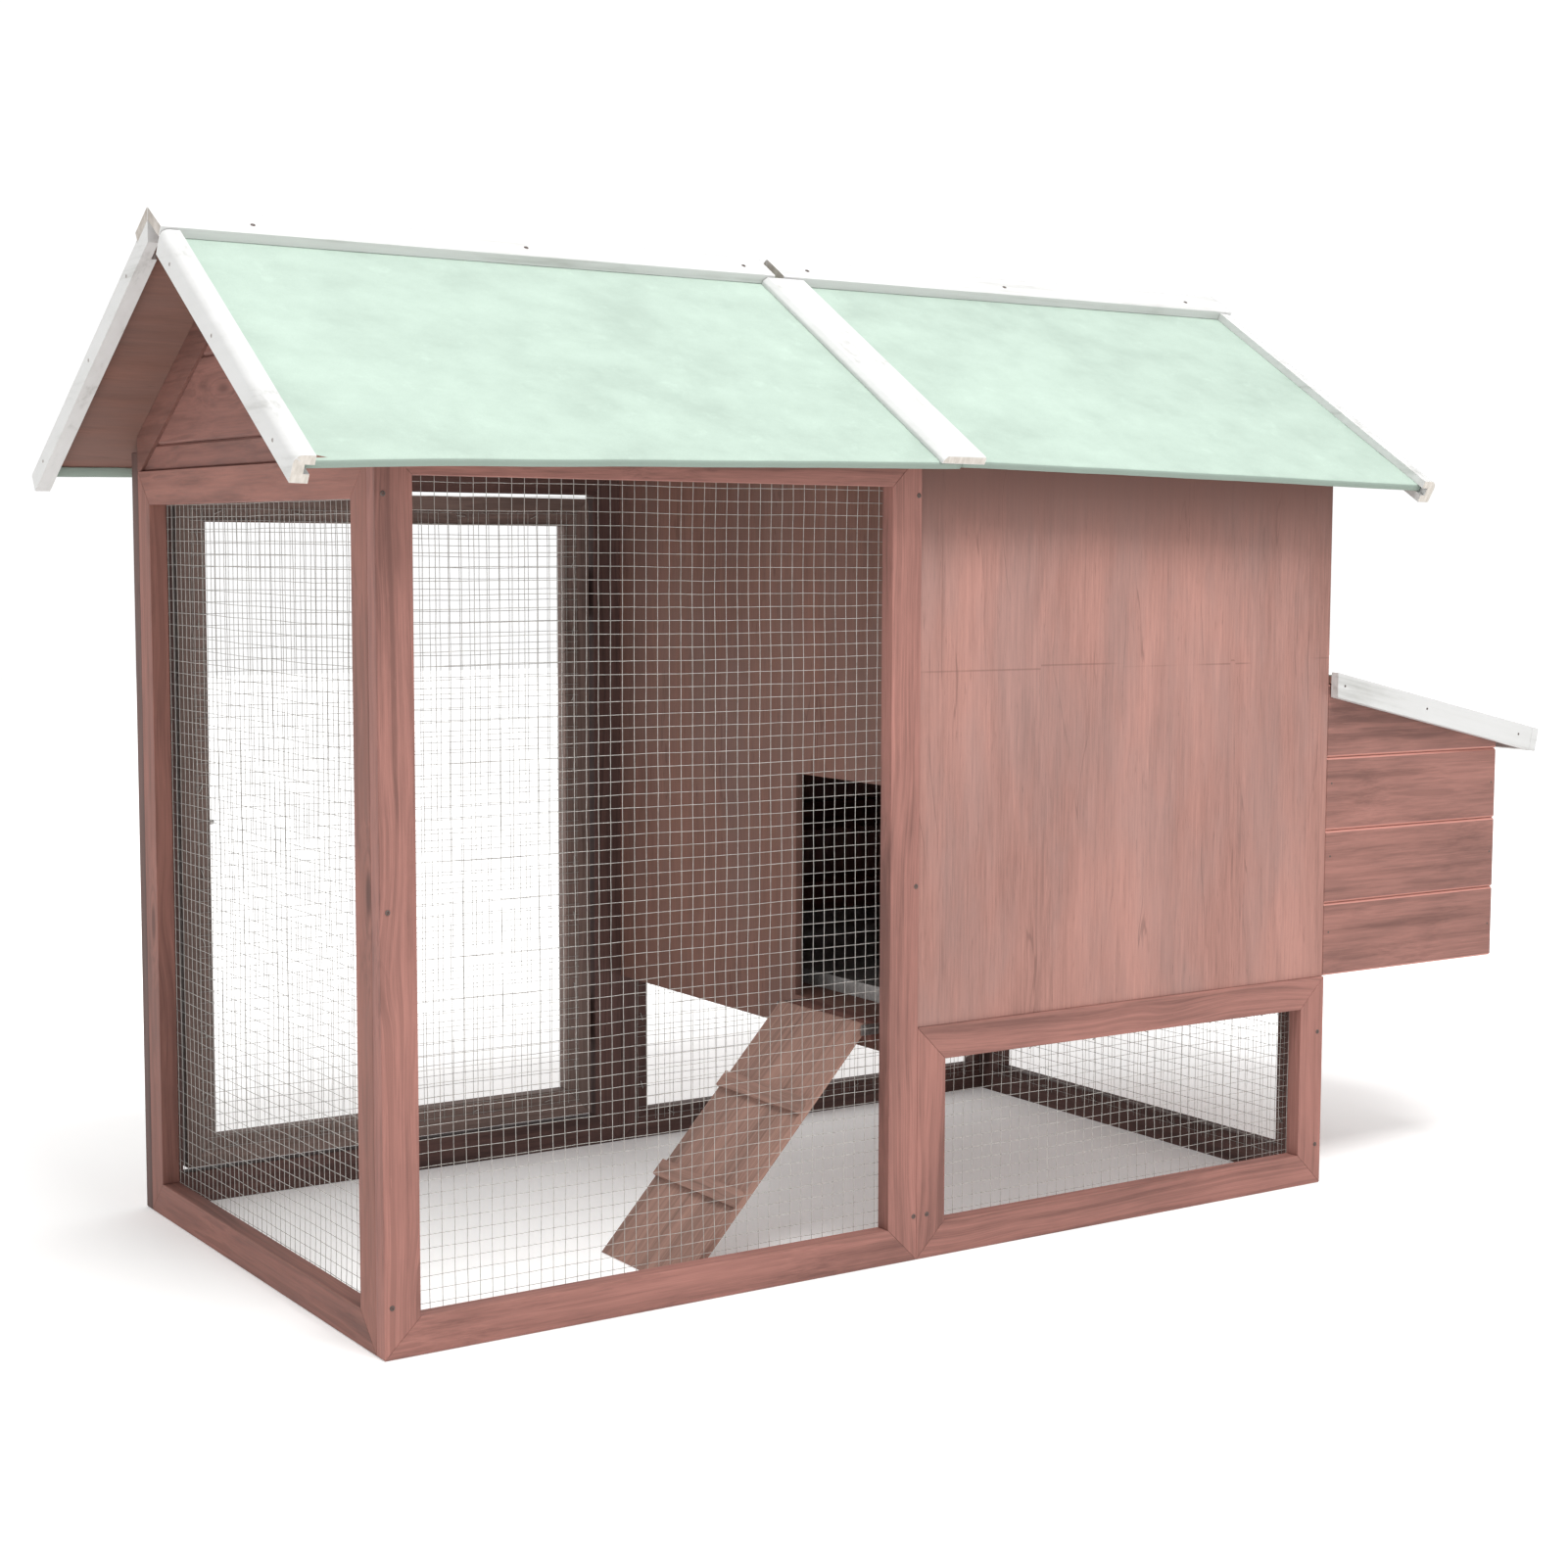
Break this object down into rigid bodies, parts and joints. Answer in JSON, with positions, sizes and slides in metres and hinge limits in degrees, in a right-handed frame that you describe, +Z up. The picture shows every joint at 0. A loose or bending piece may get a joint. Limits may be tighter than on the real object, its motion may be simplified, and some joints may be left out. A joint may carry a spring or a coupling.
{
  "type": "chicken coop with wire run",
  "caption": "Gabled wooden chicken coop: a raised plywood house with an outside nest box, joined end to end with a wire run that has a ramp and a rear door.",
  "frame": {"origin": "on the ground, under the middle of the whole object's bounding box", "axes": "+X along the ridge from the run to the nest box, +Y from the front to the rear doors, +Z up"},
  "size_m": [1.7186, 0.8484, 1.1163],
  "materials": {
    "stained_wood": "red-brown stain, matt",
    "stained_plywood": "red-brown stain on plywood, matt",
    "white_wood": "white paint, satin",
    "roofing_felt": "pale green mineral roofing felt",
    "galvanised_steel": "dull galvanised"
  },
  "bodies": {
    "coop": {"run_front_stiles": "stained_wood", "run_front_rails": "stained_wood", "run_front_mesh": "galvanised_steel", "run_end_stiles": "stained_wood", "run_end_rails": "stained_wood", "run_end_mesh": "galvanised_steel", "run_rear_stiles": "stained_wood", "run_rear_rails": "stained_wood", "bolt_keeper": "galvanised_steel", "base_front_frame": "stained_wood", "base_front_mesh": "galvanised_steel", "base_rear_frame": "stained_wood", "base_rear_mesh": "galvanised_steel", "base_end_frame": "stained_wood", "base_end_mesh": "galvanised_steel", "house_front_panel": "stained_plywood", "house_framing": "stained_wood", "house_rear_stiles": "stained_wood", "house_rear_rails": "stained_wood", "door_hinge_frame_leaves": "galvanised_steel", "turn_button_screw": "galvanised_steel", "divider_panel": "stained_plywood", "house_floor": "stained_wood", "floor_bearers": "stained_wood", "house_end_panel": "stained_plywood", "gable_rafters": "stained_wood", "gable_boards": "stained_wood", "nest_side_boards": "stained_wood", "nest_end_boards": "stained_wood", "nest_floor": "stained_wood", "nest_corner_battens": "stained_wood", "nest_hinge_wall_leaves": "galvanised_steel", "ramp_pin": "galvanised_steel", "ramp_brackets": "galvanised_steel", "ramp_ledge": "stained_wood", "roof_run_boards": "stained_wood", "roof_house_boards": "stained_wood", "roof_run_felt": "roofing_felt", "roof_house_felt": "roofing_felt", "ridge_caps": "white_wood", "barge_boards": "white_wood", "seam_battens": "white_wood", "screw_heads": "galvanised_steel"},
    "run_door": {"run_door_stiles": "stained_wood", "run_door_rails": "stained_wood", "run_door_mesh": "galvanised_steel", "run_door_hinge_leaves": "galvanised_steel", "bolt_base": "galvanised_steel"},
    "door_bolt": {"bolt_rod": "galvanised_steel"},
    "house_door": {"house_door_panel": "stained_plywood", "house_door_ledges": "stained_wood", "house_door_hinge_leaves": "galvanised_steel"},
    "turn_button": {"turn_button": "galvanised_steel"},
    "nest_lid": {"nest_lid_panel": "stained_wood", "nest_lid_felt": "roofing_felt", "nest_lid_trim": "white_wood", "nest_hinge_lid_leaves": "galvanised_steel"},
    "ramp": {"ramp_board": "stained_wood", "ramp_cleats": "stained_wood"},
    "droppings_tray": {"droppings_tray": "galvanised_steel"}
  },
  "joints": [
    {"name": "run_door_hinge", "type": "hinge", "parent": "coop", "child": "run_door", "pos_m": [-0.16471, 0.3519, 0.441], "axis": [0, 0, -1], "range_deg": [0, 95]},
    {"name": "door_bolt_slide", "type": "slide", "parent": "run_door", "child": "door_bolt", "axis": [-1, 0, 0], "range_m": [0, 0.015]},
    {"name": "house_door_hinge", "type": "hinge", "parent": "coop", "child": "house_door", "pos_m": [0.45229, 0.3519, 0.583], "axis": [0, 0, -1], "range_deg": [0, 110]},
    {"name": "turn_button_pivot", "type": "hinge", "parent": "coop", "child": "turn_button", "pos_m": [-0.09821, 0.3524, 0.58], "axis": [0, 1, 0], "range_deg": [0, 90]},
    {"name": "nest_lid_hinge", "type": "hinge", "parent": "coop", "child": "nest_lid", "pos_m": [0.49629, 0.0049, 0.633], "axis": [0, -1, 0], "range_deg": [0, 75]},
    {"name": "ramp_hinge", "type": "hinge", "parent": "coop", "child": "ramp", "pos_m": [-0.16021, -0.2041, 0.2545], "axis": [0, 1, 0], "range_deg": [0, 141]},
    {"name": "tray_slide", "type": "slide", "parent": "coop", "child": "droppings_tray", "axis": [0, 1, 0], "range_m": [0, 0.45]}
  ]
}
